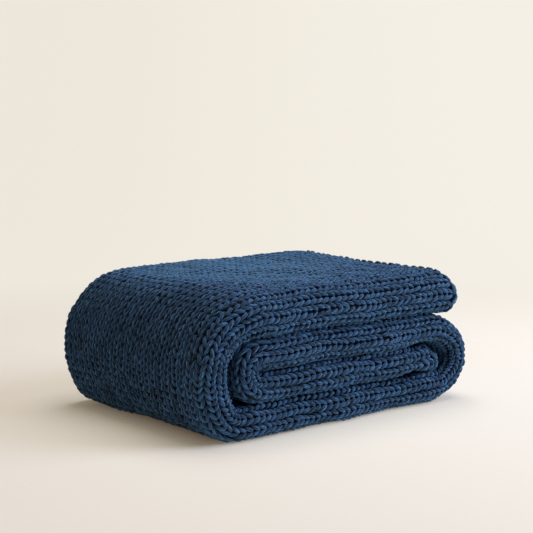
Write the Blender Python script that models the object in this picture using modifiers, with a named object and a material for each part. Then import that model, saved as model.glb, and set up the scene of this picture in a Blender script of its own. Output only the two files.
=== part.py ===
"""Knitted weighted blanket, folded in four lengthwise and then rolled flat into a pile of four layers."""
import math
from collections import namedtuple

import bpy

MM = 0.001

# The folded pile: its front (-Y) shows the rounded long fold, its left (-X) the big outer bend.
PILE_DEPTH = 324.0          # front fold to back edge, mm
PILE_HEIGHT = 180.0         # floor to the top of the flap, mm, before it settles
BOTTOM_STRIP = 41.4         # thickness of the four-fold strip in the bottom layer, mm
SHEET_SHARE = 0.210         # thickness of one knitted sheet as a share of the strip's
PITCH_SHARE = 0.262         # sheet-to-sheet pitch as a share of the strip's thickness
TOP_LEVEL = 1.5             # height of the outermost sheets from the strip's middle, in pitches
BOTTOM_SHEET = BOTTOM_STRIP * SHEET_SHARE
BOTTOM_MIDDLE = BOTTOM_STRIP * (TOP_LEVEL * PITCH_SHARE + SHEET_SHARE / 2)

# The line that the middle of the four-fold strip follows, seen from the front, from its free end on top
# to its other end inside the roll. "strip" is the strip's thickness there, in mm like x and z. "outside"
# and "inside" say how far in from the front the fold is round, on the roll's outside and inside, in strip
# thicknesses. "to_next" says how the line goes on: straight, on an arc that sets out level, or on an arc
# that sets out upright.
Station = namedtuple("Station", "name x z strip outside inside to_next steps")
ROLL = (
    Station("flap end, edge", 442.0, 152.6, 55.0, 0.50, 0.40, "straight", 2),
    Station("flap end, shoulder", 436.0, 153.0, 56.0, 0.56, 0.38, "straight", 2),
    Station("flap, right", 400.0, 154.4, 56.0, 0.62, 0.36, "straight", 7),
    Station("flap, left", 100.0, 153.0, 53.0, 0.56, 0.34, "level", 8),
    Station("outer bend", 20.5, 83.0, 43.0, 0.36, 0.34, "upright", 8),
    Station("bottom, left", 60.0, BOTTOM_MIDDLE, BOTTOM_STRIP, 0.36, 0.34, "straight", 8),
    Station("bottom, right", 403.0, BOTTOM_MIDDLE, BOTTOM_STRIP, 0.45, 0.36, "level", 7),
    Station("right bend", 452.5, 59.0, 32.0, 0.45, 0.40, "upright", 7),
    Station("middle, right", 394.0, 105.4, 39.4, 0.50, 0.36, "straight", 8),
    Station("middle, left", 97.0, 105.2, 38.6, 0.50, 0.36, "level", 6),
    Station("inner bend", 74.0, 83.6, 34.0, 0.45, 0.36, "upright", 6),
    Station("inner, left", 97.0, 61.8, 37.8, 0.50, 0.36, "straight", 8),
    Station("inner end, shoulder", 403.0, 63.0, 37.0, 0.50, 0.36, "straight", 2),
    Station("inner end, edge", 410.0, 63.0, 35.5, 0.45, 0.36, "end", 0),
)

# The sheet's way through the strip, seen along it. "inset" is how far a point lies in from the pile's
# front or back, in strip thicknesses, and stands in the table above where it is None. "level" is its
# height from the strip's middle, in sheet pitches. Both side edges lie at the back, inside one fold.
Turn = namedtuple("Turn", "name edge inset level to_next steps")
STRIP = (
    Turn("lower side edge", "back", 0.20, -1.5, "straight", 1),
    Turn("lower sheet, back", "back", 0.32, -1.5, "straight", 3),
    Turn("lower sheet, front", "inside", None, -1.5, "level", 4),
    Turn("outer front fold", "front", 0.107, 0.0, "upright", 4),
    Turn("upper sheet, front", "outside", None, 1.5, "straight", 4),
    Turn("upper sheet, back", "back", 0.24, 1.5, "level", 2),
    Turn("back fold", "back", 0.109, 1.0, "upright", 2),
    Turn("third sheet, back", "back", 0.24, 0.5, "straight", 3),
    Turn("third sheet, front", "front", 0.50, 0.5, "level", 2),
    Turn("nested front fold", "front", 0.369, 0.0, "upright", 2),
    Turn("second sheet, front", "front", 0.50, -0.5, "straight", 3),
    Turn("second sheet, back", "back", 0.42, -0.5, "straight", 1),
    Turn("upper side edge", "back", 0.30, -0.5, "end", 0),
)
EDGE_WEIGHTS = (0.45, 0.85)  # the sheet thins to a rounded edge over its last two rows

# The strip's two ends, mm. The outer sheets of an end stop short of its middle ones.
FLAP_ROUND = 10.0
FLAP_MIDDLE = -0.3          # level of the foremost sheet at the free end
FLAP_SKEW = 14.0            # the flap's end runs this much further right at the back
INNER_ROUND = 8.0
INNER_MIDDLE = 0.5          # level of the foremost sheet at the end inside the roll
END_FADE = 90.0             # length of strip over which those differences die out

# How the pile has settled, mm. Nothing moves at the floor, and the top moves the full amount.
FRONT_SAG = 4.0             # the top is lower along its front fold
SAG_REACH = 55.0            # depth over which that sag dies out
BACK_RISE = 5.0             # the top is higher towards the back
DIP = 5.0                   # a shallow hollow in the top
DIP_CENTRE = (250.0, 190.0)
DIP_RADIUS = 85.0
WAVE = 1.6                  # slow waves along the top, and less of them below
WAVE_LENGTH = 190.0
WAVE_START = (1.1, 0.4)     # where in a wave the pile's corner is, along and from front to back, radians
WAVE_DEPTH = 0.7            # waves from front to back for each wave along
WANDER = 2.2                # the front folds wander in and out
WANDER_LENGTH = 145.0
WANDER_RISE = 23.0          # the wander turns by a radian over this height

FINE = 16                   # points worked out between two rows of the mesh, for the direction at each


def between(start, end, way, share):
    """The point at a share of the way from start to end, straight or on a quarter of an ellipse."""
    turned = share * math.pi / 2
    across, up = {
        "straight": (share, share),
        "level": (math.sin(turned), 1 - math.cos(turned)),
        "upright": (1 - math.cos(turned), math.sin(turned)),
    }[way]
    return start[0] + (end[0] - start[0]) * across, start[1] + (end[1] - start[1]) * up


def traced(rows):
    """Points along a table's line, FINE of them for each step, each with its row's number and share.

    A row here is the point's two coordinates, how the line goes on and in how many steps."""
    points = []
    for number, (row, following) in enumerate(zip(rows, rows[1:])):
        place, to_next, steps = row
        count = steps * FINE
        for step in range(count):
            share = step / count
            points.append((between(place, following[0], to_next, share), number, share))
    points.append((rows[-1][0], len(rows) - 2, 1.0))
    return points


def roll_places():
    """For each row of the mesh along the strip: its place, direction, run from the end and sizes.

    The sizes are the strip's thickness and how round its front fold is, outside and inside."""
    points = traced([((row.x, row.z), row.to_next, row.steps) for row in ROLL])
    places = []
    run = 0.0
    for index, (place, number, share) in enumerate(points):
        before = points[max(index - 1, 0)][0]
        after = points[min(index + 1, len(points) - 1)][0]
        run += math.dist(before, place)
        if index % FINE == 0:
            size = math.dist(before, after)
            direction = ((after[0] - before[0]) / size, (after[1] - before[1]) / size)
            eased = share * share * (3 - 2 * share)
            here, following = ROLL[number], ROLL[number + 1]
            sizes = [start + (end - start) * eased for start, end in (
                (here.strip, following.strip), (here.outside, following.outside), (here.inside, following.inside))]
            places.append((place, direction, run, sizes))
    return places


def end_slip(from_flap_end, from_inner_end, y, level):
    """How far a point stands back along the strip because the sheets' ends are uneven."""
    flap = max(0.0, 1 - from_flap_end / END_FADE) ** 2
    inner = max(0.0, 1 - from_inner_end / END_FADE) ** 2
    flap_slip = FLAP_ROUND * ((level - FLAP_MIDDLE) / TOP_LEVEL) ** 2 - FLAP_SKEW * y / PILE_DEPTH
    inner_slip = INNER_ROUND * ((level - INNER_MIDDLE) / TOP_LEVEL) ** 2
    return flap * flap_slip - inner * inner_slip


def settled(x, y, z):
    """Where a point of the pile lies once the cloth has settled."""
    share = max(0.0, z - BOTTOM_SHEET / 2) / PILE_HEIGHT
    sag = FRONT_SAG * math.exp(-max(0.0, y) / SAG_REACH)
    rise = BACK_RISE * y / PILE_DEPTH
    away = math.dist((x, y), DIP_CENTRE) / DIP_RADIUS
    dip = DIP * math.exp(-away * away) * share * share
    turn = 2 * math.pi / WAVE_LENGTH
    wave = WAVE * math.sin(turn * x + WAVE_START[0]) * math.cos(turn * WAVE_DEPTH * y + WAVE_START[1])
    wander = WANDER * math.sin(2 * math.pi * x / WANDER_LENGTH + z / WANDER_RISE) * (1 - y / PILE_DEPTH)
    return x, y + wander, z + share * (rise - sag - dip + wave)


def strip_section(strip, outside, inside):
    """The sheet's middle line across a strip of this thickness, as y and level."""
    edges = {"front": (0.0, strip), "back": (PILE_DEPTH, -strip),
             "outside": (outside * strip, 0.0), "inside": (inside * strip, 0.0)}
    rows = []
    for row in STRIP:
        start, inward = edges[row.edge]
        rows.append(((start + inward * (row.inset or 0.0), row.level), row.to_next, row.steps))
    return [place for place, _, _ in traced(rows)[::FINE]]


def folded_rows():
    """The middle of the folded sheet: rows along the strip, each across the sheet's whole width.

    Each row comes with the sheet's thickness there."""
    places = roll_places()
    whole = places[-1][2]
    rows = []
    for (x, z), (along_x, along_z), run, (strip, outside, inside) in places:
        row = []
        for y, level in strip_section(strip, outside, inside):
            out = level * strip * PITCH_SHARE
            slip = end_slip(run, whole - run, y, level)
            row.append(settled(x + along_z * out + along_x * slip, y, z - along_x * out + along_z * slip))
        rows.append((row, strip * SHEET_SHARE))
    return rows


def knitted_sheet(name):
    """The blanket starts as a flat grid, and each of its points is carried to its folded place."""
    rows = folded_rows()
    last_row, last_column = len(rows) - 1, len(rows[0][0]) - 1
    thickest = max(thickness for _, thickness in rows)
    bpy.ops.mesh.primitive_grid_add(x_subdivisions=last_row, y_subdivisions=last_column, size=2)
    sheet = bpy.context.object
    sheet.name = sheet.data.name = name
    share = sheet.vertex_groups.new(name="share of thickness")
    for vertex in sheet.data.vertices:
        i = round((vertex.co.x + 1) / 2 * last_row)
        j = round((vertex.co.y + 1) / 2 * last_column)
        row, thickness = rows[i]
        vertex.co = [value * MM for value in row[j]]
        inset = min(i, last_row - i, j, last_column - j)
        weight = EDGE_WEIGHTS[inset] if inset < len(EDGE_WEIGHTS) else 1.0
        share.add([vertex.index], weight * thickness / thickest, "REPLACE")
    solid = sheet.modifiers.new("sheet thickness", "SOLIDIFY")
    solid.thickness = thickest * MM
    solid.offset = 0
    solid.use_even_offset = True
    solid.vertex_group = share.name
    sheet.data.shade_smooth()
    centre_footprint(sheet)
    return sheet


def centre_footprint(sheet):
    """Moves the mesh sideways so that the middle of its footprint is the origin."""
    corners = sheet.evaluated_get(bpy.context.evaluated_depsgraph_get()).bound_box
    middle_x, middle_y = ((min(side) + max(side)) / 2 for side in list(zip(*corners))[:2])
    for vertex in sheet.data.vertices:
        vertex.co.x -= middle_x
        vertex.co.y -= middle_y


def yarn_material():
    """Matt navy yarn."""
    material = bpy.data.materials.new("navy yarn")
    material.use_nodes = True
    shader = material.node_tree.nodes["Principled BSDF"]
    shader.inputs["Base Color"].default_value = (0.020, 0.062, 0.150, 1)
    shader.inputs["Roughness"].default_value = 0.85
    shader.inputs["Metallic"].default_value = 0.0
    return material


def build():
    for old in list(bpy.data.objects):
        bpy.data.objects.remove(old)
    collection = bpy.data.collections.new("weighted_blanket")
    bpy.context.scene.collection.children.link(collection)
    sheet = knitted_sheet("blanket")
    for holder in list(sheet.users_collection):
        holder.objects.unlink(sheet)
    collection.objects.link(sheet)
    sheet.data.materials.append(yarn_material())


build()
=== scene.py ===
# Chunky knitted weighted blanket, folded in four lengthwise and rolled flat into a pile of layers.
# Sizes are in millimetres unless a note says otherwise, and inWorld() makes them metres.
import math
from collections import namedtuple

import bpy
import numpy as np
from mathutils import Matrix, Vector


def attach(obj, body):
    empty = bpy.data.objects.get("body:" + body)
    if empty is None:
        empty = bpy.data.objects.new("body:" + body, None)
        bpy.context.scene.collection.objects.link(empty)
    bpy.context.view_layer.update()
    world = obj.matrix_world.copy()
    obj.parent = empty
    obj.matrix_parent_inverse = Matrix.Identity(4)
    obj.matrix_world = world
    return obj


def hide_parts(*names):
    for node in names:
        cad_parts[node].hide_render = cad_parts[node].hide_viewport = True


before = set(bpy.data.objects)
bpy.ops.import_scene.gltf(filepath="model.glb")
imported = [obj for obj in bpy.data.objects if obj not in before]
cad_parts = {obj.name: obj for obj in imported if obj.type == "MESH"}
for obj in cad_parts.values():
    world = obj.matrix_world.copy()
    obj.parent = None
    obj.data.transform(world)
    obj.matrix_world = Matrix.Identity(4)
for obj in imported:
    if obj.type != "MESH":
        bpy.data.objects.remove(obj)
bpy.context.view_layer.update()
print("frame loaded")


# Measures of the folded pile.
pile = {
    "depth": 324.0,              # front fold to back edge
    "height": 180.0,
    "centre": (233.765, 161.050),  # middle of the footprint, in the measure of the fold's tables
    "sheetShare": 0.210,         # thickness of one knitted sheet as a share of the strip's
    "pitchShare": 0.262,         # sheet to sheet, as a share of the strip's thickness
    "outerLevel": 1.5,           # of the strip's outermost sheets, in sheet pitches from its middle
    "flapRound": 10.0,           # the outer sheets stop short of the middle ones at the free end
    "flapMiddle": -0.3,          # level of its foremost sheet
    "flapSkew": 14.0,            # how much further that end reaches at the back than at the front
    "innerRound": 8.0,           # the same as the first two, for the end inside the roll
    "innerMiddle": 0.5,
    "endFade": 90.0,             # what is said of the ends fades out within this distance
    "frontSag": 4.0,             # the top sinks by this at the front fold
    "sagReach": 55.0,
    "backRise": 5.0,
    "dip": 5.0,                  # a shallow dip in the top
    "dipCentre": (250.0, 190.0),
    "dipRadius": 85.0,
    "wave": 1.6,                 # slow waves over the top
    "waveLength": 190.0,
    "waveStart": (1.1, 0.4),
    "waveDepth": 0.7,            # waves back to front for each wave along
    "wander": 2.2,               # the front folds aren't quite straight
    "wanderLength": 145.0,
    "wanderRise": 23.0,          # the wander turns by a radian over this height
}

# The middle of the four-fold strip from its free end on top to its end inside the roll, seen from the front.
# "outside" and "inside" say how far in from the front the fold is round, on the roll's outside and inside,
# in strip thicknesses, and "course" is the spacing of the knitted rows.
Station = namedtuple("Station", "name x z strip outside inside course toNext")
rollLine = (
    Station("flap end, edge", 441.5, 151.6, 56.5, 0.50, 0.40, 10.4, "straight"),
    Station("flap end, shoulder", 435.5, 152.2, 57.5, 0.56, 0.38, 10.4, "straight"),
    Station("flap, right", 400.0, 153.9, 56.8, 0.62, 0.36, 10.5, "straight"),
    Station("flap, middle", 230.0, 153.5, 54.4, 0.59, 0.35, 10.3, "straight"),
    Station("flap, left", 100.0, 153.0, 53.0, 0.56, 0.34, 9.0, "level"),
    Station("outer bend", 20.5, 83.0, 43.0, 0.36, 0.34, 7.2, "upright"),
    Station("bottom, left", 60.0, 20.6172, 41.4, 0.36, 0.34, 9.4, "straight"),
    Station("bottom, right", 403.0, 20.6172, 41.4, 0.45, 0.36, 9.7, "level"),
    Station("right bend", 450.8, 58.6, 32.0, 0.45, 0.40, 7.2, "upright"),
    Station("middle, right", 394.0, 104.2, 39.4, 0.50, 0.36, 9.9, "straight"),
    Station("middle, left", 97.0, 105.2, 38.6, 0.50, 0.36, 9.5, "level"),
    Station("inner bend", 74.0, 83.6, 34.0, 0.45, 0.36, 6.0, "upright"),
    Station("inner, left", 97.0, 61.8, 37.8, 0.50, 0.36, 9.5, "straight"),
    Station("inner end, shoulder", 400.0, 63.0, 37.0, 0.50, 0.36, 10.3, "straight"),
    Station("inner end, edge", 407.0, 63.4, 36.5, 0.45, 0.36, 10.3, "end"),
)

# The sheet's way through the strip. "inset" is in strip thicknesses from the pile's front or back, and stands
# in the stations' table where it is None. "level" is in sheet pitches from the strip's middle, and "wale"
# counts the knitted ribs from the front fold.
Turn = namedtuple("Turn", "name edge inset level wale toNext")
stripSection = (
    Turn("lower side edge", "back", 0.20, -1.5, -23, "straight"),
    Turn("lower sheet, back", "back", 0.32, -1.5, None, "straight"),
    Turn("lower sheet, front", "inside", None, -1.5, None, "level"),
    Turn("outer front fold", "front", 0.107, 0.0, 0, "upright"),
    Turn("upper sheet, front", "outside", None, 1.5, None, "straight"),
    Turn("upper sheet, back", "back", 0.24, 1.5, None, "level"),
    Turn("back fold", "back", 0.109, 1.0, 24, "upright"),
    Turn("third sheet, back", "back", 0.24, 0.5, None, "straight"),
    Turn("third sheet, front", "front", 0.50, 0.5, None, "level"),
    Turn("nested front fold", "front", 0.369, 0.0, 46, "upright"),
    Turn("second sheet, front", "front", 0.50, -0.5, None, "straight"),
    Turn("second sheet, back", "back", 0.42, -0.5, None, "straight"),
    Turn("upper side edge", "back", 0.30, -0.5, 67, "end"),
)
cell = {"course": 9.9, "wale": 16.0}     # the size that one stitch is drawn in, mm
ribs = {
    "widthAbove": 16.0,    # of the ribs by the front fold
    "widthBelow": 18.0,
    "wide": 3,             # so many on each side of the fold
    "narrowing": 0.12,     # those behind are narrower and narrower
    "tightest": 0.3,       # ribs are counted on the sheet's right side, or by this share of its middle line
}
gridFine = 4                             # grid lines for each course and each wale

# Soft troughs, and ridges where the depth is below zero, from one place on the cloth to another. Courses
# count from the station, and width and depth are in millimetres.
Crease = namedtuple("Crease", "name station fromCourse fromWale toCourse toWale width depth")
creases = (
    Crease("inner end, between its lobes", "inner end, edge", -0.3, -0.40, -5.0, -0.35, 3.4, 4.5),
    Crease("inner end, lower lobe", "inner end, edge", -0.6, 0.4, -3.0, 0.5, 6.0, -2.0),
    Crease("inner end, upper lobe", "inner end, edge", -0.8, -0.95, -3.0, -0.9, 5.0, -2.0),
    Crease("inner end, gap above", "inner end, edge", -1.6, -1.6, -3.8, -1.6, 9.0, 6.0),
    Crease("inner end, hollow beneath", "inner end, edge", -3.0, 1.4, -5.2, 1.4, 10.0, 11.5),
    Crease("middle, above the inner end", "middle, right", -1.8, -1.5, 2.2, -1.4, 9.0, 5.0),
    Crease("bottom, beneath the inner end", "bottom, right", -6.6, -1.9, -3.6, -1.9, 9.0, 6.0),
    Crease("right, low corner", "bottom, right", 0.4, 1.0, 2.6, 1.5, 14.0, 3.0),
    Crease("flap end, towards the back", "flap end, edge", 1.0, 9.0, 1.0, 22.0, 22.0, 3.2),
    Crease("top, by the front", "flap, right", 4.0, 6.0, 19.0, 8.5, 17.0, 2.2),
    Crease("top, rise behind it", "flap, right", 10.0, 13.0, 26.0, 15.5, 22.0, -1.8),
    Crease("left, high", "outer bend", -7.0, 9.0, 1.0, 12.5, 20.0, 2.4),
    Crease("left, low", "outer bend", 3.0, 15.0, 7.0, 19.0, 18.0, 2.0),
    Crease("left, beneath the bend", "bottom, left", -2.2, 23.5, -2.2, 14.0, 14.0, -5.0),
    Crease("left, by the corner", "outer bend", -5.0, 3.6, 5.0, 4.4, 7.0, 1.6),
)
creaseEnds = {
    "least": 0.35,     # share of its depth that a crease has all along, and an arch over it has the rest
    "cut": 0.1,        # share of the arch that is cut off at each end
}


def between(start, end, way, share):  # straight, or a quarter of an ellipse
    turned = share * math.pi / 2
    across, up = {
        "straight": (share, share),
        "level": (np.sin(turned), 1 - np.cos(turned)),
        "upright": (1 - np.cos(turned), np.sin(turned)),
    }[way]
    return np.stack([start[0] + (end[0] - start[0]) * across, start[1] + (end[1] - start[1]) * up], axis=-1)


def runOf(points):
    steps = np.linalg.norm(np.diff(points, axis=0), axis=1)
    return np.concatenate([[0.0], np.cumsum(steps)])


def walkRoll(count=160):  # the strip's middle line in small steps
    points, strips, courses, outsides, insides, starts = [], [], [], [], [], {}
    for number, (here, following) in enumerate(zip(rollLine, rollLine[1:])):
        starts[here.name] = number * count
        share = np.arange(count) / count
        points.append(between((here.x, here.z), (following.x, following.z), here.toNext, share))
        eased = share * share * (3 - 2 * share)
        strips.append(here.strip + (following.strip - here.strip) * eased)
        outsides.append(here.outside + (following.outside - here.outside) * eased)
        insides.append(here.inside + (following.inside - here.inside) * eased)
        courses.append(here.course + (following.course - here.course) * share)
    last = rollLine[-1]
    starts[last.name] = len(rollLine[:-1]) * count
    points = np.concatenate(points + [np.array([[last.x, last.z]])])
    strips = np.append(np.concatenate(strips), last.strip)
    outsides = np.append(np.concatenate(outsides), last.outside)
    insides = np.append(np.concatenate(insides), last.inside)
    courses = np.append(np.concatenate(courses), last.course)
    run = runOf(points)
    heading = np.gradient(points, run, axis=0)
    heading /= np.linalg.norm(heading, axis=1)[:, None]
    rate = 1 / courses
    counted = np.concatenate([[0.0], np.cumsum((rate[1:] + rate[:-1]) / 2 * np.diff(run))])
    counted *= round(counted[-1]) / counted[-1]
    return {"points": points, "strips": strips, "outsides": outsides, "insides": insides, "heading": heading,
            "run": run, "course": counted, "starts": {name: counted[index] for name, index in starts.items()}}


def walkSection(strip, outside, inside, count=24):  # y and level of the sheet's middle line, and its wales
    edges = {"front": (0.0, strip), "back": (pile["depth"], -strip),
             "outside": (outside * strip, 0), "inside": (inside * strip, 0)}
    rows = []
    for row in stripSection:
        start, inward = edges[row.edge]
        rows.append((start + inward * (row.inset or 0), row.level * strip * pile["pitchShare"]))
    points = [between(here, following, row.toNext, np.arange(count) / count)
              for row, here, following in zip(stripSection, rows, rows[1:])]
    points = np.concatenate(points + [np.array([rows[-1]])])
    run = runOf(points)
    heading = np.gradient(points, run, axis=0)
    heading /= np.linalg.norm(heading, axis=1)[:, None]
    outer = points + np.stack([-heading[:, 1], heading[:, 0]], axis=1) * strip * pile["sheetShare"] / 2
    reach = np.concatenate([[0.0], np.cumsum(np.maximum(
        np.linalg.norm(np.diff(outer, axis=0), axis=1), ribs["tightest"] * np.diff(run)))])
    marks, numbers = [], []
    for index, row in enumerate(stripSection):
        if row.wale is not None:
            marks.append(reach[index * count])
            numbers.append(row.wale)
    front, wide = numbers.index(0), ribs["wide"]
    marks[front:front + 1] = [marks[front] - ribs["widthBelow"] * wide, marks[front],
                              marks[front] + ribs["widthAbove"] * wide]
    numbers[front:front + 1] = [-wide, 0, wide]
    wale = np.interp(reach, marks, numbers)
    back = numbers[numbers.index(wide) + 1]
    share = np.clip((wale - wide) / (back - wide), 0, 1)
    return points, wale - ribs["narrowing"] * (back - wide) * share * (1 - share)


def settle(x, y, z, bottomSheet):  # where a point lies once the cloth has settled
    share = np.maximum(0.0, z - bottomSheet / 2) / pile["height"]
    sag = pile["frontSag"] * np.exp(-np.maximum(0.0, y) / pile["sagReach"])
    rise = pile["backRise"] * y / pile["depth"]
    away = np.hypot(x - pile["dipCentre"][0], y - pile["dipCentre"][1]) / pile["dipRadius"]
    dip = pile["dip"] * np.exp(-away * away) * share * share
    turn = 2 * math.pi / pile["waveLength"]
    across, along = pile["waveStart"]
    wave = pile["wave"] * np.sin(turn * x + across) * np.cos(turn * pile["waveDepth"] * y + along)
    wander = pile["wander"] * np.sin(2 * math.pi * x / pile["wanderLength"] + z / pile["wanderRise"])
    wander = wander * (1 - y / pile["depth"])
    return np.stack([x, y + wander, z + share * (rise - sag - dip + wave)], axis=-1)


def sheetNormals(points):
    normals = np.cross(np.gradient(points, axis=1), np.gradient(points, axis=0))
    return normals / np.linalg.norm(normals, axis=2)[:, :, None]


def creaseDepth(courses, wales, starts):  # how far the creases push each grid point in
    course, wale = np.meshgrid(courses, wales, indexing="ij")
    depth = np.zeros_like(course)
    size = np.array([cell["course"], cell["wale"]])
    least, cut = creaseEnds["least"], creaseEnds["cut"]
    for crease in creases:
        start = starts[crease.station]
        first = np.array([start + crease.fromCourse, crease.fromWale]) * size
        last = np.array([start + crease.toCourse, crease.toWale]) * size
        along, over = last - first
        x, y = course * cell["course"] - first[0], wale * cell["wale"] - first[1]
        share = np.clip((x * along + y * over) / (along ** 2 + over ** 2), 0, 1)
        away = np.hypot(x - along * share, y - over * share) / crease.width
        fading = least + (1 - least) * np.sin(math.pi * (cut + (1 - 2 * cut) * share))
        depth += crease.depth * np.exp(-away * away) * fading
    return depth


def layCloth():  # the middle of the folded sheet as a grid: courses down, wales across
    roll = walkRoll()
    courses = int(round(roll["course"][-1]))
    rowNumbers = np.arange(courses * gridFine + 1) / gridFine
    wales = (stripSection[0].wale, stripSection[-1].wale)
    waleNumbers = np.arange(wales[0] * gridFine, wales[1] * gridFine + 1) / gridFine
    line = {name: np.interp(rowNumbers, roll["course"], values) for name, values in (
        ("x", roll["points"][:, 0]), ("z", roll["points"][:, 1]), ("strip", roll["strips"]),
        ("outside", roll["outsides"]), ("inside", roll["insides"]),
        ("alongX", roll["heading"][:, 0]), ("alongZ", roll["heading"][:, 1]), ("run", roll["run"]))}
    y, out = [], []
    for strip, outside, inside in zip(line["strip"], line["outside"], line["inside"]):
        points, numbers = walkSection(strip, outside, inside)
        y.append(np.interp(waleNumbers, numbers, points[:, 0]))
        out.append(np.interp(waleNumbers, numbers, points[:, 1]))
    y, out = np.array(y), np.array(out)
    level = out / (line["strip"][:, None] * pile["pitchShare"])
    fromFlap = np.maximum(0.0, 1 - line["run"] / pile["endFade"])[:, None] ** 2
    fromInner = np.maximum(0.0, 1 - (line["run"][-1] - line["run"]) / pile["endFade"])[:, None] ** 2
    slip = fromFlap * (pile["flapRound"] * ((level - pile["flapMiddle"]) / pile["outerLevel"]) ** 2
                       - pile["flapSkew"] * y / pile["depth"])
    slip -= fromInner * pile["innerRound"] * ((level - pile["innerMiddle"]) / pile["outerLevel"]) ** 2
    alongX, alongZ = line["alongX"][:, None], line["alongZ"][:, None]
    bottom = next(row for row in rollLine if row.name == "bottom, left")
    points = settle(line["x"][:, None] + alongZ * out + alongX * slip, y,
                    line["z"][:, None] - alongX * out + alongZ * slip, bottom.strip * pile["sheetShare"])
    normals = sheetNormals(points)
    points -= normals * creaseDepth(rowNumbers, waleNumbers, roll["starts"])[:, :, None]
    normals = sheetNormals(points)
    half = np.repeat(line["strip"][:, None] * pile["sheetShare"] / 2, len(waleNumbers), axis=1)
    return {"points": points, "normals": normals, "half": half, "courses": courses, "wales": wales,
            "starts": roll["starts"]}


cloth = layCloth()
print("cloth laid:", cloth["courses"], "courses,", cloth["wales"][1] - cloth["wales"][0], "wales")


def readGrid(values, course, wale):  # between the grid's lines, and straight on past its edges
    rows, columns = values.shape[:2]
    down, over = course * gridFine, (wale - cloth["wales"][0]) * gridFine
    i = np.clip(np.floor(down).astype(int), 0, rows - 2)
    j = np.clip(np.floor(over).astype(int), 0, columns - 2)
    a, b = down - i, over - j
    if values.ndim == 3:
        a, b = a[..., None], b[..., None]
    upper = values[i, j] * (1 - b) + values[i, j + 1] * b
    lower = values[i + 1, j] * (1 - b) + values[i + 1, j + 1] * b
    return upper * (1 - a) + lower * a


def onCloth(course, wale, lift):  # a point this far above the sheet's right side
    normal = readGrid(cloth["normals"], course, wale)
    normal /= np.linalg.norm(normal, axis=-1)[..., None]
    half = readGrid(cloth["half"], np.clip(course, 0, cloth["courses"]), wale)
    return readGrid(cloth["points"], course, wale) + normal * (half + lift)[..., None]


def inWorld(points):
    shift = np.array([pile["centre"][0], pile["centre"][1], 0.0])
    return (points - shift) * 0.001


class Wire:  # a shader socket that takes part in sums
    def __init__(self, finish, socket):
        self.finish, self.socket = finish, socket

    def maths(self, operation, first, second):
        return self.finish.add("ShaderNodeMath", {"operation": operation}, {0: first, 1: second}, "Value")

    def __add__(self, other):
        return self.maths("ADD", self, other)

    def __radd__(self, other):
        return self.maths("ADD", other, self)

    def __sub__(self, other):
        return self.maths("SUBTRACT", self, other)

    def __rsub__(self, other):
        return self.maths("SUBTRACT", other, self)

    def __mul__(self, other):
        return self.maths("MULTIPLY", self, other)

    def __rmul__(self, other):
        return self.maths("MULTIPLY", other, self)


class Finish:  # a material under construction
    def __init__(self, name):
        self.material = bpy.data.materials.new(name)
        self.material.use_nodes = True
        self.tree = self.material.node_tree
        self.shader = self.tree.nodes["Principled BSDF"]

    def add(self, kind, settings, sockets, output):
        node = self.tree.nodes.new(kind)
        for name, value in settings.items():
            setattr(node, name, value)
        for name, value in sockets.items():
            self.put(node.inputs[name], value)
        return Wire(self, node.outputs[output])

    def put(self, socket, value):
        if isinstance(value, Wire):
            self.tree.links.new(value.socket, socket)
        else:
            socket.default_value = value

    def setShader(self, values):  # by the names of the shader's sockets
        for name, value in values.items():
            self.put(self.shader.inputs[name], value)

    def mix(self, factor, first, second):  # its colour sockets are known by their numbers
        return self.add("ShaderNodeMix", {"data_type": "RGBA"}, {0: factor, 6: first, 7: second}, 2)

    def noise(self, place, scale, detail=2.0):
        return self.add("ShaderNodeTexNoise", {}, {"Vector": place, "Scale": scale, "Detail": detail}, "Fac")

    def mapRange(self, value, start, end, first, last, way="LINEAR"):  # start and end become first and last
        sockets = {0: value, 1: start, 2: end, 3: first, 4: last}
        return self.add("ShaderNodeMapRange", {"interpolation_type": way}, sockets, "Result")

    def vector(self, operation, first, second=(0, 0, 0), output="Vector"):
        return self.add("ShaderNodeVectorMath", {"operation": operation}, {0: first, 1: second}, output)

    def bump(self, height, strength, distance):
        sockets = {"Height": height, "Strength": strength, "Distance": distance}
        return self.add("ShaderNodeBump", {}, sockets, "Normal")

    def split(self, vector):  # its first two numbers
        first = self.add("ShaderNodeSeparateXYZ", {}, {0: vector}, "X")
        return first, Wire(self, first.socket.node.outputs["Y"])


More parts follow.
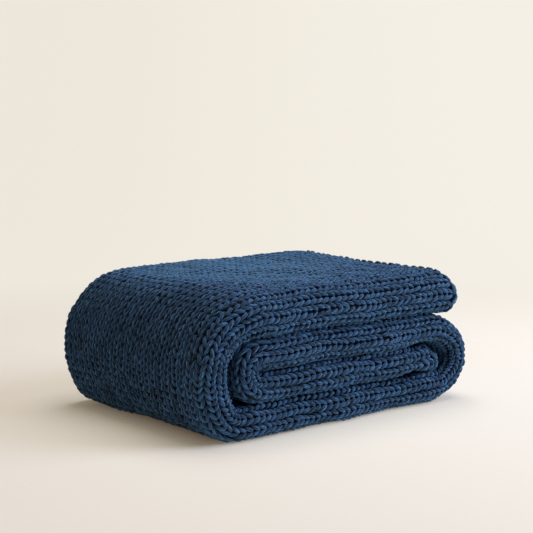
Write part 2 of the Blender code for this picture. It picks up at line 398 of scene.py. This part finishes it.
yarn = {
    # painted shade: this tone darkens the low parts of each leg, where shade falls between stitches
    "shadeTone": (0.006, 0.008, 0.019, 1),
    "dark": (0.011, 0.034, 0.086, 1),
    "light": (0.063, 0.188, 0.410, 1),
    "roughness": (0.80, 0.1),        # the least, and what fibre adds
    "specular": 0.3,
    "sheen": 0.7,
    "sheenTint": (0.28, 0.64, 0.98, 1),
    "sheenRoughness": 0.4,
    "strands": 7.0,                  # thin strands round the yarn
    "strandLength": 1.2,             # and how often they change along one leg
    "twist": 2.0,                    # strands crossed along one leg
    "plyEdges": (0.36, 0.64),        # the strands' noise between them goes from shadow to highlight
    "fibre": 1500.0,                 # noise per metre, as are "cloud" and that of the pale flecks
    "cloud": 26.0,                   # slow changes of tone
    "lintAndGlint": 330.0,                  # pale flecks, partly lint and partly painted glints of fibres catching light, where its noise is above these edges
    "lintAndGlintEdges": (0.67, 0.72),
    "lintAndGlintTone": (0.20, 0.30, 0.42, 1),
    "lintAndGlintShare": 0.8,
    "sheenAndWear": (-0.01, 0.07, 0.19),   # partly wear, partly painted sheen: the top is painted paler round this place, in metres
    "sheenAndWearReach": (0.07, 0.225),    # fully so up to the first distance, and no more from the second
    "sheenAndWearTone": (0.096, 0.240, 0.390, 1),
    "sheenAndWearShare": 0.45,
    "lighter": (0.25, 0.25, 0.90, 0.24, 0.25),  # from dark to light by stitch, cloud, ply (painted strand highlights), wear and painted sheen on the top, less 0.25
    "unshaded": (1.10, 0.20, 0.20),  # out of the painted shade tone by height and ply, less 0.20
    "relief": (1.2, 0.4),            # of ply and fibre
    "bump": (0.7, 0.0009),           # strength, and depth in metres
}


def yarnFinish(name):
    finish = Finish(name)
    place = finish.add("ShaderNodeTexCoord", {}, {}, "Object")
    run, around = finish.split(finish.add("ShaderNodeUVMap", {"uv_map": "yarnRun"}, {}, "UV"))
    tone = finish.add("ShaderNodeAttribute", {"attribute_name": "tone"}, {}, "Fac")
    height = finish.add("ShaderNodeAttribute", {"attribute_name": "height"}, {}, "Fac")
    fibre = finish.noise(place, yarn["fibre"])
    cloudy = finish.noise(place, yarn["cloud"])
    laid = finish.add("ShaderNodeCombineXYZ", {}, {
        0: run * yarn["strandLength"],
        1: around * yarn["strands"] + run * yarn["twist"],
    }, "Vector")
    ply = finish.mapRange(finish.noise(laid, 1.0, detail=1.0), *yarn["plyEdges"], 0.0, 1.0)
    # partly wear, partly painted sheen: the top is painted paler and more teal round one place
    away = finish.vector("DISTANCE", place, yarn["sheenAndWear"], output="Value")
    sheenAndWear = finish.mapRange(away, *yarn["sheenAndWearReach"], 1.0, 0.0, "SMOOTHSTEP")
    byStitch, byCloud, byPly, bySheenAndWear, less = yarn["lighter"]
    lighter = tone * byStitch + cloudy * byCloud + ply * byPly + sheenAndWear * bySheenAndWear - less
    colour = finish.mix(lighter, yarn["dark"], yarn["light"])
    colour = finish.mix(sheenAndWear * yarn["sheenAndWearShare"], colour, yarn["sheenAndWearTone"])
    # pale flecks: partly lint, partly painted glints of fibres catching the light
    lintAndGlintNoise = finish.noise(place, yarn["lintAndGlint"], detail=1.0)
    lintAndGlint = finish.mapRange(lintAndGlintNoise, *yarn["lintAndGlintEdges"], 0.0, yarn["lintAndGlintShare"])
    colour = finish.mix(lintAndGlint, colour, yarn["lintAndGlintTone"])
    # painted shade: the low parts of each leg, between stitches, are painted in the dark shade tone
    byHeight, byPly, less = yarn["unshaded"]
    colour = finish.mix(height * byHeight + ply * byPly - less, yarn["shadeTone"], colour)
    least, byFibre = yarn["roughness"]
    plyRelief, fibreRelief = yarn["relief"]
    finish.setShader({
        "Base Color": colour,
        "Roughness": fibre * byFibre + least,
        "Specular IOR Level": yarn["specular"],
        "Sheen Weight": yarn["sheen"],
        "Sheen Roughness": yarn["sheenRoughness"],
        "Sheen Tint": yarn["sheenTint"],
        "Normal": finish.bump(ply * plyRelief + fibre * fibreRelief, *yarn["bump"]),
    })
    return finish.material


yarnMaterial = yarnFinish("navy yarn")


def meshPiece(name, points, faces, material):  # "faces" has an array for each number of corners
    mesh = bpy.data.meshes.new(name)
    mesh.vertices.add(len(points))
    mesh.vertices.foreach_set("co", inWorld(points).astype(np.float32).ravel())
    corners = np.concatenate([group.ravel() for group in faces]).astype(np.int32)
    sizes = np.concatenate([np.full(len(group), group.shape[1]) for group in faces])
    starts = np.concatenate([[0], np.cumsum(sizes)[:-1]]).astype(np.int32)
    mesh.loops.add(len(corners))
    mesh.loops.foreach_set("vertex_index", corners)
    mesh.polygons.add(len(sizes))
    mesh.polygons.foreach_set("loop_start", starts)
    mesh.update(calc_edges=True)
    mesh.validate()
    mesh.shade_smooth()
    piece = bpy.data.objects.new(name, mesh)
    bpy.context.scene.collection.objects.link(piece)
    piece.data.materials.append(material)
    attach(piece, "root")
    return piece


# The ground cloth lies behind the stitches, and its colour is painted shade, so it shows dark between them.
ground = {
    "sunk": 2.5,          # below the surface of the stitches on the cloth's right side
    "raised": 0.4,        # its own wrong side above the cloth's
    "edgeIn": 0.35,       # courses and wales that it stops short of the edges
    "rows": 0.8,          # grid lines for each course, and one for each wale
    "foldReach": 3.0,     # wales on each side of a fold that have a finer grid
    "foldStep": 0.5,
    # painted shade: far darker than the yarn, these stand in for the shade in the gaps between stitches
    "dark": (0.004, 0.007, 0.016, 1),
    "light": (0.011, 0.018, 0.042, 1),
    "fibre": 900.0,       # noise per metre
    "roughness": (0.85, 0.1),  # the least, and what fibre adds
    "bump": (0.4, 0.0008),     # strength, and depth in metres
}


def groundShadeFinish(name):
    finish = Finish(name)
    fibre = finish.noise(finish.add("ShaderNodeTexCoord", {}, {}, "Object"), ground["fibre"])
    least, byFibre = ground["roughness"]
    finish.setShader({
        "Base Color": finish.mix(fibre, ground["dark"], ground["light"]),
        "Roughness": fibre * byFibre + least,
        "Specular IOR Level": 0.0,
        "Normal": finish.bump(fibre, *ground["bump"]),
    })
    return finish.material


def groundCloth(name):
    inset, reach, step = ground["edgeIn"], ground["foldReach"], ground["foldStep"]
    courses = np.linspace(inset, cloth["courses"] - inset, int(cloth["courses"] * ground["rows"]) + 1)
    first, last = cloth["wales"]
    folds = [row.wale for row in stripSection if row.wale is not None][1:-1]
    wales = [[first + inset, last - inset], np.arange(first + 1.0, last)]
    wales += [fold + np.arange(-reach, reach + step, step) for fold in folds]
    course, wale = np.meshgrid(courses, np.unique(np.concatenate(wales)), indexing="ij")
    half = readGrid(cloth["half"], course, wale)
    outer = onCloth(course, wale, -ground["sunk"])
    inner = onCloth(course, wale, -2 * half + ground["raised"])
    rows, columns = course.shape
    points = np.concatenate([outer.reshape(-1, 3), inner.reshape(-1, 3)])
    number = np.arange(rows * columns).reshape(rows, columns)
    below = number + rows * columns
    upper = np.stack([number[:-1, :-1], number[:-1, 1:], number[1:, 1:], number[1:, :-1]], axis=-1)
    lower = np.stack([below[:-1, :-1], below[1:, :-1], below[1:, 1:], below[:-1, 1:]], axis=-1)
    rim = np.concatenate([number[0, :], number[1:, -1], number[-1, -2::-1], number[-2:0:-1, 0]])
    following = np.roll(rim, -1)
    wall = np.stack([following, rim, rim + rows * columns, following + rows * columns], axis=-1)
    faces = np.concatenate([upper.reshape(-1, 4), lower.reshape(-1, 4), wall])
    return meshPiece(name, points, [faces], groundShadeFinish("ground in painted shade"))


# A leg of the V from its point to its outer end. "along" runs with the rib and "out" away from its middle.
LegRing = namedtuple("LegRing", "along out up width thickness")
plumpLeg = (              # by the front fold
    LegRing(9.2, 0.5, -4.4, 1.4, 1.4),
    LegRing(6.2, 1.7, -1.9, 3.8, 3.7),
    LegRing(2.0, 3.3, -0.6, 5.4, 5.1),
    LegRing(-2.4, 4.9, -0.7, 5.3, 5.1),
    LegRing(-6.0, 6.0, -2.3, 3.8, 3.8),
    LegRing(-8.2, 6.6, -4.8, 1.4, 1.4),
)
slimLeg = (               # elsewhere the cloth is stretched a little
    LegRing(8.6, 0.8, -3.8, 1.5, 1.5),
    LegRing(5.6, 2.0, -1.9, 3.3, 3.2),
    LegRing(1.9, 3.3, -0.9, 4.1, 4.1),
    LegRing(-1.9, 4.7, -0.9, 4.1, 4.1),
    LegRing(-5.6, 6.0, -1.9, 3.3, 3.2),
    LegRing(-8.6, 7.2, -3.8, 1.5, 1.5),
)
stitch = {
    "fineSides": 7,
    "plainSides": 6,
    "plumpWales": (2, 5),  # legs are plump up to the first of these ribs, and slim from the second
    "unevenTurn": 0.06,  # how far stitches differ, in radians, shares and mm
    "unevenSize": 0.05,
    "unevenFat": 0.06,
    "unevenPlace": 0.35,
    "unevenLift": 0.30,
    "driftPlace": 0.7,   # and how far they wander together, mm
    "driftLift": 0.6,
    "driftWaves": 7,
    "driftSlowest": 0.3,  # radians of a wave from course to course
    "driftFastest": 1.3,
    "driftAcross": 1.5,  # a wale counts as so many courses
    "driftEven": 2.6,    # brings the sum of the waves mostly between -1 and 1
    "driftSeed": 50,
    "patchSeed": 100,
    "edgeSeed": 200,
    "shadeFrom": -3.4,   # painted shade: the yarn is painted darkest up to this height, and has its full colour from the next
    "shadeTo": 1.4,
}
# "points" are along, out and up, and "middles" are where the yarn's middle line is beside them. Both are
# there for the plump leg and the slim one. "groups" has the faces by their number of corners, "yarnRun" how
# far along and round the yarn their corners lie, and "height" how far each point is out of the painted shade.
Template = namedtuple("Template", "points middles groups yarnRun height")


def modelLeg(legRings, sides):  # one ring is drawn, then extruded and scaled to each next one
    bpy.ops.object.select_all(action="DESELECT")
    bpy.ops.mesh.primitive_circle_add(
        vertices=sides, radius=0.5, fill_type="NGON", rotation=(0, math.pi / 2, 0))
    leg = bpy.context.object
    bpy.ops.object.transform_apply(location=True, rotation=True, scale=True)
    bpy.ops.object.mode_set(mode="EDIT")
    bpy.ops.mesh.select_all(action="SELECT")
    place, size = Vector((0, 0, 0)), Vector((1, 1, 1))
    for number, ring in enumerate(legRings):
        target, wanted = Vector((ring.along, ring.out, ring.up)), Vector((1, ring.width, ring.thickness))
        if number:
            bpy.ops.mesh.extrude_region_move(TRANSFORM_OT_translate={"value": target - place})
        else:
            bpy.ops.transform.translate(value=target)
        bpy.ops.transform.resize(value=[b / a for a, b in zip(size, wanted)], center_override=target)
        place, size = target, wanted
    bpy.ops.mesh.select_all(action="SELECT")
    bpy.ops.mesh.normals_make_consistent(inside=False)
    bpy.ops.object.mode_set(mode="OBJECT")
    return leg


def modelStitch(sides):  # two legs make the V
    points = []
    for legRings in (plumpLeg, slimLeg):
        leg = modelLeg(legRings, sides)
        points.append([vertex.co[:] for vertex in leg.data.vertices])
        faces = sorted(list(polygon.vertices) for polygon in leg.data.polygons)  # else in a chance order
        bpy.data.objects.remove(leg)
    points = np.array(points)
    count = points.shape[1]
    ring, side = np.divmod(np.arange(count), sides)
    share = ring / (len(plumpLeg) - 1)
    groups, runs = {}, {}
    for mirrored in (False, True):
        for face in faces:
            turns = [int(side[corner]) for corner in face]
            if len(face) == 4 and max(turns) - min(turns) > 1:
                turns = [turn or sides for turn in turns]
            run = [(float(share[corner]), (1 - turn / sides) if mirrored else turn / sides)
                   for corner, turn in zip(face, turns)]
            corners = [corner + count * mirrored for corner in face]
            if mirrored:
                corners, run = corners[::-1], run[::-1]
            groups.setdefault(len(face), []).append(corners)
            runs.setdefault(len(face), []).append(run)
    middles = np.array([[row[:3] for row in legRings] for legRings in (plumpLeg, slimLeg)])[:, ring]
    lowest, highest = stitch["shadeFrom"], stitch["shadeTo"]
    height = np.clip((points[0, :, 2] - lowest) / (highest - lowest), 0, 1)
    return Template(np.concatenate([points, points * (1, -1, 1)], axis=1),
                    np.concatenate([middles, middles * (1, -1, 1)], axis=1),
                    [np.array(groups[size]) for size in sorted(groups)],
                    [np.array(runs[size]) for size in sorted(groups)], np.concatenate([height, height]))


fineStitch = modelStitch(stitch["fineSides"])
plainStitch = modelStitch(stitch["plainSides"])
print("stitch modelled:", sum(len(group) * (group.shape[1] - 2) for group in fineStitch.groups), "triangles")


def drift(course, wale, seed):  # wanders slowly from stitch to stitch
    chance = np.random.default_rng(seed)
    total = np.zeros_like(course)
    least = (0, stitch["driftSlowest"], 0)
    most = (2 * math.pi, stitch["driftFastest"], 2 * math.pi)
    for turn, speed, start in chance.uniform(least, most, (stitch["driftWaves"], 3)):
        place = course * math.cos(turn) + stitch["driftAcross"] * wale * math.sin(turn)
        total += np.sin(speed * place + start)
    return total / stitch["driftEven"]


def unevenStitches(template, course, wale, chance):  # a slightly different stitch for each place
    count = len(course)
    half = template.points.shape[1] // 2
    legs = np.repeat(np.arange(2), half)
    plump, slim = stitch["plumpWales"]
    stretched = np.clip((np.abs(wale) - plump) / (slim - plump), 0, 1)[:, None, None]
    middles = template.middles[0] * (1 - stretched) + template.middles[1] * stretched
    points = template.points[0] * (1 - stretched) + template.points[1] * stretched
    fat = 1 + chance.normal(0, stitch["unevenFat"], (count, 2))
    points = middles + (points - middles) * fat[:, legs, None]
    turn = chance.normal(0, stitch["unevenTurn"], (count, 2))[:, legs]
    size = 1 + chance.normal(0, stitch["unevenSize"], (count, 1, 1))
    shift = chance.normal(0, stitch["unevenPlace"], (count, 1, 2))
    lift = chance.normal(0, stitch["unevenLift"], (count, 2))[:, legs]
    along, out = points[..., 0].copy(), points[..., 1].copy()
    points[..., 0] = along * np.cos(turn) - out * np.sin(turn)
    points[..., 1] = along * np.sin(turn) + out * np.cos(turn)
    points *= size
    points[..., :2] += shift
    for axis, amount in enumerate((stitch["driftPlace"], stitch["driftPlace"], stitch["driftLift"])):
        points[..., axis] += amount * drift(course, wale, stitch["driftSeed"] + axis)[:, None]
    points[..., 2] += lift
    return points


def knitPiece(name, template, points, chance):  # joins all stitches of a patch into one mesh
    count = len(points)
    step = template.points.shape[1]
    offset = (np.arange(count) * step)[:, None, None]
    faces = [(group[None] + offset).reshape(-1, group.shape[1]) for group in template.groups]
    points = points.reshape(-1, 3)
    points[:, 2] = np.maximum(points[:, 2], 0.0)  # pressed flat where it lies on the floor
    piece = meshPiece(name, points, faces, yarnMaterial)
    runs = []
    for group in template.yarnRun:  # each stitch shows another stretch of the yarn
        start = np.repeat(chance.uniform(0, 1, (count, 1, 2)), len(group), axis=0)
        runs.append((np.tile(group, (count, 1, 1)) + start).reshape(-1, 2))
    layer = piece.data.uv_layers.new(name="yarnRun")
    layer.data.foreach_set("uv", np.concatenate(runs).astype(np.float32).ravel())
    tone = np.repeat(chance.uniform(0, 1, count), step)
    height = np.tile(template.height, count)
    for attribute, values in (("tone", tone), ("height", height)):
        made = piece.data.attributes.new(attribute, "FLOAT", "POINT")
        made.data.foreach_set("value", values.astype(np.float32))
    return piece


# Each patch covers the courses between two stations and the wales between two numbers.
Patch = namedtuple("Patch", "name start end fromWale toWale template")
patches = (
    Patch("knit_top", "flap end, edge", "flap, left", 3, 24, fineStitch),
    Patch("knit_left", "flap, left", "bottom, left", 3, 24, fineStitch),
    Patch("knit_underside", "bottom, left", "bottom, right", 3, 24, plainStitch),
    Patch("knit_right", "bottom, right", "middle, right", 3, 24, plainStitch),
    Patch("knit_front_outer", "flap end, edge", "bottom, right", -5, 3, fineStitch),
    Patch("knit_front_right", "bottom, right", "middle, right", -5, 3, fineStitch),
    Patch("knit_front_inner", "middle, right", "inner end, edge", -5, 5, fineStitch),
    Patch("knit_hollow_left", "flap, left", "bottom, left", -10, -5, plainStitch),
    Patch("knit_hollow_right", "bottom, right", "middle, right", -11, -5, plainStitch),
    Patch("knit_inner_bend", "middle, left", "inner, left", 5, 10, plainStitch),
    Patch("knit_middle_back", "middle, right", "middle, left", 19, 24, plainStitch),
    Patch("knit_inner_back", "middle, left", "inner, left", 20, 24, plainStitch),
    Patch("knit_back_fold", "flap end, edge", "inner end, edge", 24, 27, plainStitch),
    Patch("knit_back_edge", "flap end, edge", "inner end, edge", -23, -21, plainStitch),
)


def knitPatch(number, patch):
    chance = np.random.default_rng(stitch["patchSeed"] + number)
    first, last = (int(round(cloth["starts"][station])) for station in (patch.start, patch.end))
    first, last = max(first, 1), min(last, cloth["courses"] - 1)  # the chains along the ends take their place
    courses, wales = np.arange(first, last) + 0.5, np.arange(patch.fromWale, patch.toWale) + 0.5
    course, wale = (values.ravel() for values in np.meshgrid(courses, wales, indexing="ij"))
    cells = unevenStitches(patch.template, course, wale, chance)
    along = course[:, None] + cells[..., 0] / cell["course"]
    over = wale[:, None] + cells[..., 1] / cell["wale"]
    return knitPiece(patch.name, patch.template, onCloth(along, over, cells[..., 2]), chance)


groundPiece = groundCloth("ground_cloth")
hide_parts("blanket")
knitPieces = [knitPatch(number, patch) for number, patch in enumerate(patches)]
print("knit laid:", sum(len(piece.data.polygons) for piece in knitPieces), "faces")


# A chain of stitches lies along each edge. "course" edges end the courses and "wale" edges the wales.
# "spread" is in radians round the edge for each millimetre of a stitch's width, and "tilt" turns the chain
# over to the cloth's right side.
Edge = namedtuple("Edge", "name kind at inward first last spread tilt")
edges = (
    Edge("edge_flap_end", "course", 0, 1, *cloth["wales"], 0.19, 0.55),
    Edge("edge_flap_end_under", "course", 0, 1, *cloth["wales"], 0.19, -0.75),
    Edge("edge_inner_end", "course", cloth["courses"], -1, *cloth["wales"], 0.25, 0.50),
    Edge("edge_lower_side", "wale", cloth["wales"][0], 1, 0, cloth["courses"], 0.155, 0.0),
    Edge("edge_upper_side", "wale", cloth["wales"][1], -1, 0, cloth["courses"], 0.155, 0.0),
)
chain = {
    "lift": 1.0,          # mm off the sheet's edge
    "lookIn": 0.5,        # courses or wales inwards, to find which way is outwards
}


def besideEdge(edge, place, inwards):  # courses and wales of a line along the edge
    at = np.full_like(place, edge.at + inwards * edge.inward)
    return (at, place) if edge.kind == "course" else (place, at)


def onRim(edge, place, angle, lift):  # a point round the sheet's edge; the angle is from straight outwards
    here = besideEdge(edge, place, 0.0)
    rim = readGrid(cloth["points"], *here)
    outwards = rim - readGrid(cloth["points"], *besideEdge(edge, place, chain["lookIn"]))
    outwards /= np.linalg.norm(outwards, axis=-1)[..., None]
    normal = readGrid(cloth["normals"], *here)
    normal /= np.linalg.norm(normal, axis=-1)[..., None]
    half = readGrid(cloth["half"], *here)[..., None]
    way = outwards * np.cos(angle)[..., None] + normal * np.sin(angle)[..., None]
    return rim - outwards * half + way * (half + lift[..., None])


def knitEdge(number, edge):
    chance = np.random.default_rng(stitch["edgeSeed"] + number)
    place = np.arange(edge.first, edge.last) + 0.5
    cells = unevenStitches(plainStitch, place, np.zeros_like(place), chance)
    angle = edge.tilt + cells[..., 1] * edge.spread
    along = place[:, None] + cells[..., 0] / cell["course"]
    placed = onRim(edge, along, angle, cells[..., 2] + chain["lift"])
    return knitPiece(edge.name, plainStitch, placed, chance)


knitPieces += [knitEdge(number, edge) for number, edge in enumerate(edges)]
print("edges chained")


# The studio's sizes are in metres.
studio = {
    "paper": (0.742, 0.754, 0.728, 1),
    "backLeft": (0.846, 0.798, 0.708, 1),     # the backdrop's own light at the left and right of the view
    "backRight": (0.913, 0.868, 0.786, 1),
    "rightwards": (0.773, -0.635),            # from left to right in the view
    "backReach": 1.0,                         # how far to each side the one turns into the other
    "litRadius": 0.55,                        # from here the floor turns into backdrop,
    "fadeEnd": 1.45,                          # and here it is all like it
    "floorRadius": 2.2,
    "bendRadius": 1.6,
    "wall": 2.5,
    "sides": 96,
    "bendSteps": 12,
    "world": (1.0, 0.30, 0.24, 1),
    "worldStrength": 0.051,
    "floorGlow": (0.250, 0.220, 0.160, 1),    # the paper's own light by the pile, for soft shadows
    "contactShadowGlow": (0.075, 0.050, 0.030, 1),  # painted contact shadow: the paper's own light is dimmer beside the left bend
    "contactPlace": (-0.13, 0.0, 0.0),        # middle and half size of the stretch that is all contactShadowGlow
    "contactHalf": (0.045, 0.115, 0.0),
    "contactReach": 0.065,                    # this far from it, all is floorGlow again
}


def paperFinish(name, fading):  # the floor's fades into the backdrop's
    finish = Finish(name)
    place = finish.add("ShaderNodeTexCoord", {}, {}, "Object")
    x, y = finish.split(place)
    alongX, alongY = studio["rightwards"]
    reach = studio["backReach"]
    across = finish.mapRange(x * alongX + y * alongY, -reach, reach, 0.0, 1.0, "SMOOTHSTEP")
    glow = finish.mix(across, studio["backLeft"], studio["backRight"])
    black = (0, 0, 0, 1)
    finish.setShader({"Specular IOR Level": 0.0, "Emission Strength": 1.0})
    if fading:
        away = finish.add("ShaderNodeMath", {"operation": "SQRT"}, {0: x * x + y * y}, "Value")
        share = finish.mapRange(away, studio["litRadius"], studio["fadeEnd"], 0.0, 1.0, "SMOOTHSTEP")
        # painted contact shadow: the paper's own light dims near a box beside the left bend
        aside = finish.vector("SUBTRACT", place, studio["contactPlace"])
        aside = finish.vector("SUBTRACT", finish.vector("ABSOLUTE", aside), studio["contactHalf"])
        aside = finish.vector("LENGTH", finish.vector("MAXIMUM", aside), output="Value")
        near = finish.mapRange(aside, 0.0, studio["contactReach"], 0.0, 1.0, "SMOOTHSTEP")
        byPile = finish.mix(near, studio["contactShadowGlow"], studio["floorGlow"])
        finish.setShader({
            "Base Color": finish.mix(share, studio["paper"], black),
            "Emission Color": finish.mix(share, byPile, glow),
        })
    else:
        finish.setShader({"Base Color": black, "Emission Color": glow})
    return finish.material


def studioFloor():
    bpy.ops.object.select_all(action="DESELECT")
    bpy.ops.mesh.primitive_circle_add(
        vertices=studio["sides"], radius=studio["floorRadius"], fill_type="NGON")
    floor = bpy.context.object
    floor.name = "studio_floor"
    floor.data.materials.append(paperFinish("studio floor paper", True))


def studioBackdrop():  # a sweep all round, so that no view has a horizon
    bpy.ops.object.select_all(action="DESELECT")
    bpy.ops.mesh.primitive_circle_add(
        vertices=studio["sides"], radius=studio["floorRadius"], fill_type="NOTHING")
    backdrop = bpy.context.object
    backdrop.name = "studio_backdrop"
    bpy.ops.object.mode_set(mode="EDIT")
    bpy.ops.mesh.select_all(action="SELECT")
    radius, height = studio["floorRadius"], 0.0
    for step in range(1, studio["bendSteps"] + 1):
        turned = step / studio["bendSteps"] * math.pi / 2
        wider = studio["floorRadius"] + studio["bendRadius"] * math.sin(turned)
        higher = studio["bendRadius"] * (1 - math.cos(turned))
        bpy.ops.mesh.extrude_region_move(TRANSFORM_OT_translate={"value": (0, 0, higher - height)})
        bpy.ops.transform.resize(value=(wider / radius, wider / radius, 1), center_override=(0, 0, higher))
        radius, height = wider, higher
    bpy.ops.mesh.extrude_region_move(TRANSFORM_OT_translate={"value": (0, 0, studio["wall"])})
    bpy.ops.object.mode_set(mode="OBJECT")
    backdrop.data.shade_smooth()
    backdrop.data.materials.append(paperFinish("studio backdrop paper", False))
    backdrop.visible_diffuse = backdrop.visible_glossy = backdrop.visible_shadow = False  # it lights nothing


studioFloor()
studioBackdrop()
world = bpy.data.worlds.new("studio air")
world.use_nodes = True
world.node_tree.nodes["Background"].inputs["Color"].default_value = studio["world"]
world.node_tree.nodes["Background"].inputs["Strength"].default_value = studio["worldStrength"]
bpy.context.scene.world = world

# place and target in metres, size in metres, power in watts
Lamp = namedtuple("Lamp", "name place target width height power colour")
lamps = (
    Lamp("overhead softbox", (0.57, 0.2, 2.7), (0.0, 0.0, 0.1), 2.4, 2.4, 47.0, (1.13, 1.05, 0.98)),
    Lamp("right softbox", (1.8, -1.6, 1.4), (0.0, 0.0, 0.1), 1.6, 1.6, 49.0, (0.91, 0.98, 1.17)),
)
for lamp in lamps:
    light = bpy.data.lights.new(lamp.name, "AREA")
    light.shape = "RECTANGLE"
    light.size, light.size_y = lamp.width, lamp.height
    light.energy = lamp.power
    light.color = lamp.colour
    holder = bpy.data.objects.new(lamp.name, light)
    bpy.context.scene.collection.objects.link(holder)
    holder.location = lamp.place
    holder.rotation_euler = (Vector(lamp.target) - Vector(lamp.place)).to_track_quat("-Z", "Y").to_euler()

bpy.context.scene.view_settings.view_transform = "Standard"

view = {
    "lens": 82.43,
    "sensor": 36,
    "farthest": 100,       # metres
    "azimuth": 39.412,     # degrees from straight in front towards the left
    "elevation": 6.647,
    "target": (167.52, 85.6, 200.08),  # in the measure of the fold's tables
    "distance": 1587.04,
}


def photographCamera():
    turn, tilt = math.radians(view["azimuth"]), math.radians(view["elevation"])
    back = Vector((-math.sin(turn) * math.cos(tilt), -math.cos(turn) * math.cos(tilt), math.sin(tilt)))
    right = Vector((math.cos(turn), -math.sin(turn), 0))
    up = back.cross(right)
    place = Vector(inWorld(np.array(view["target"]) + view["distance"] * np.array(back)).tolist())
    data = bpy.data.cameras.new("photograph")
    data.lens = view["lens"]
    data.sensor_width = view["sensor"]
    data.clip_end = view["farthest"]
    camera = bpy.data.objects.new("photograph", data)
    bpy.context.scene.collection.objects.link(camera)
    camera.matrix_world = Matrix.Translation(place) @ Matrix((right, up, back)).transposed().to_4x4()
    bpy.context.scene.camera = camera


photographCamera()
print("studio set")
